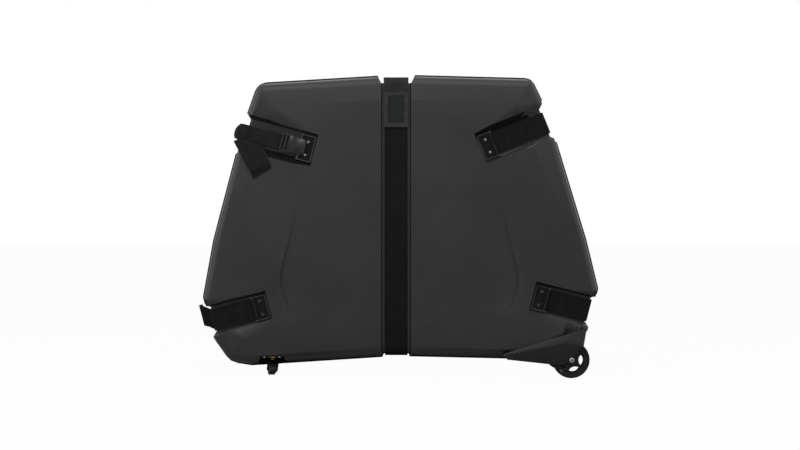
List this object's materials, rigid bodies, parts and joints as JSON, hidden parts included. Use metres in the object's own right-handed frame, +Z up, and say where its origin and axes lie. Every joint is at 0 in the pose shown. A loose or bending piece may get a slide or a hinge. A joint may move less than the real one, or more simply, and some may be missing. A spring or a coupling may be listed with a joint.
{
  "type": "bike travel case",
  "caption": "Hard travel case for a bicycle: two moulded half shells held by corner straps and a centre belt, on wheels and casters, with foam pads inside.",
  "frame": {"origin": "floor level below the middle of the case, on the parting plane of the two halves", "axes": "+Z up, +X along the case towards the end with the two main wheels, the front half towards -Y"},
  "size_m": [1.164, 0.3154, 0.8687],
  "materials": {
    "shell": "satin",
    "edging": "satin",
    "moulded": "satin",
    "buckle": "satin",
    "webbing": "matte",
    "grip": "matte",
    "foam": "matte",
    "tyre": "matte",
    "wheel": "satin",
    "steel": "satin",
    "brass": "satin"
  },
  "bodies": {
    "rear_half": {"rear_shell": "shell", "rear_edging": "edging", "rear_foam": "foam", "plate_top_left_rear": "moulded", "rivets_top_left_rear": "steel", "plate_top_right_rear": "moulded", "rivets_top_right_rear": "steel", "plate_lower_left_rear": "moulded", "rivets_lower_left_rear": "steel", "plate_lower_right_rear": "moulded", "rivets_lower_right_rear": "steel", "belt_rear": "webbing", "wheel_cover_rear": "moulded", "axle_bolt_rear": "steel", "caster_plate_rear": "steel", "strap_top_left_rear": "webbing", "strap_top_right_rear": "webbing", "strap_lower_left_rear": "webbing", "strap_lower_right_rear": "webbing"},
    "lid": {"front_shell": "shell", "front_edging": "edging", "front_foam": "foam", "plate_top_left_front": "moulded", "rivets_top_left_front": "steel", "plate_top_right_front": "moulded", "rivets_top_right_front": "steel", "plate_lower_left_front": "moulded", "rivets_lower_left_front": "steel", "plate_lower_right_front": "moulded", "rivets_lower_right_front": "steel", "belt_front": "webbing", "wheel_cover_front": "moulded", "axle_bolt_front": "steel", "caster_plate_front": "steel", "strap_top_right_inner": "webbing", "strap_lower_left_inner": "webbing", "strap_lower_right_inner": "webbing", "buckle_webbing": "webbing", "cover_flap": "webbing", "label_pocket": "webbing", "buckle_socket": "buckle", "grip_sleeve": "grip"},
    "foam_sheet": {"middle_foam": "foam"},
    "front_wheel": {"wheel_front": "wheel", "tyre_front": "tyre"},
    "front_swivel": {"caster_race_front": "brass", "caster_fork_front": "steel", "caster_pin_front": "steel"},
    "front_caster_wheel": {"caster_wheel_front": "wheel"},
    "rear_wheel": {"wheel_rear": "wheel", "tyre_rear": "tyre"},
    "rear_swivel": {"caster_race_rear": "brass", "caster_fork_rear": "steel", "caster_pin_rear": "steel"},
    "rear_caster_wheel": {"caster_wheel_rear": "wheel"},
    "flap_top_right": {"strap_top_right_outer": "webbing"},
    "flap_lower_left": {"strap_lower_left_outer": "webbing"},
    "flap_lower_right": {"strap_lower_right_outer": "webbing"},
    "plug": {"buckle_plug": "buckle"}
  },
  "joints": [
    {"name": "lid_slide", "type": "slide", "parent": "rear_half", "child": "lid", "axis": [0, -1, 0], "range_m": [0, 0.38]},
    {"name": "foam_slide", "type": "slide", "parent": "rear_half", "child": "foam_sheet", "axis": [0, -1, 0], "range_m": [0, 0.19]},
    {"name": "front_wheel_spin", "type": "hinge", "parent": "lid", "child": "front_wheel", "pos_m": [0.488, -0.131, 0.0523], "axis": [0, 1, 0], "continuous": true},
    {"name": "front_caster_swivel", "type": "hinge", "parent": "lid", "child": "front_swivel", "pos_m": [-0.362, -0.045, 0.0491], "axis": [0, 0, 1], "continuous": true},
    {"name": "front_caster_spin", "type": "hinge", "parent": "front_swivel", "child": "front_caster_wheel", "pos_m": [-0.36562, -0.03148, 0.0185], "axis": [0.9659, 0.2588, 0], "continuous": true},
    {"name": "rear_wheel_spin", "type": "hinge", "parent": "rear_half", "child": "rear_wheel", "pos_m": [0.488, 0.131, 0.0523], "axis": [0, 1, 0], "continuous": true},
    {"name": "rear_caster_swivel", "type": "hinge", "parent": "rear_half", "child": "rear_swivel", "pos_m": [-0.362, 0.045, 0.0491], "axis": [0, 0, 1], "continuous": true},
    {"name": "rear_caster_spin", "type": "hinge", "parent": "rear_swivel", "child": "rear_caster_wheel", "pos_m": [-0.36562, 0.03148, 0.0185], "axis": [0.9659, -0.2588, 0], "continuous": true},
    {"name": "flap_top_right_hinge", "type": "hinge", "parent": "lid", "child": "flap_top_right", "pos_m": [0.27118, -0.1416, 0.66276], "axis": [0.3728, 0, -0.9279], "range_deg": [0, 120]},
    {"name": "flap_lower_left_hinge", "type": "hinge", "parent": "lid", "child": "flap_lower_left", "pos_m": [-0.4059, -0.1416, 0.19413], "axis": [-0.2547, 0, 0.967], "range_deg": [0, 120]},
    {"name": "flap_lower_right_hinge", "type": "hinge", "parent": "lid", "child": "flap_lower_right", "pos_m": [0.42023, -0.1416, 0.22045], "axis": [-0.2519, 0, -0.9678], "range_deg": [0, 120]},
    {"name": "buckle_slide", "type": "slide", "parent": "lid", "child": "plug", "axis": [-0.9677, 0, 0.2521], "range_m": [0, 0.032], "deforming": ["buckle_webbing"]}
  ],
  "couplings": [
    {"joint": "foam_slide", "follows": "lid_slide", "ratio": 0.5}
  ]
}
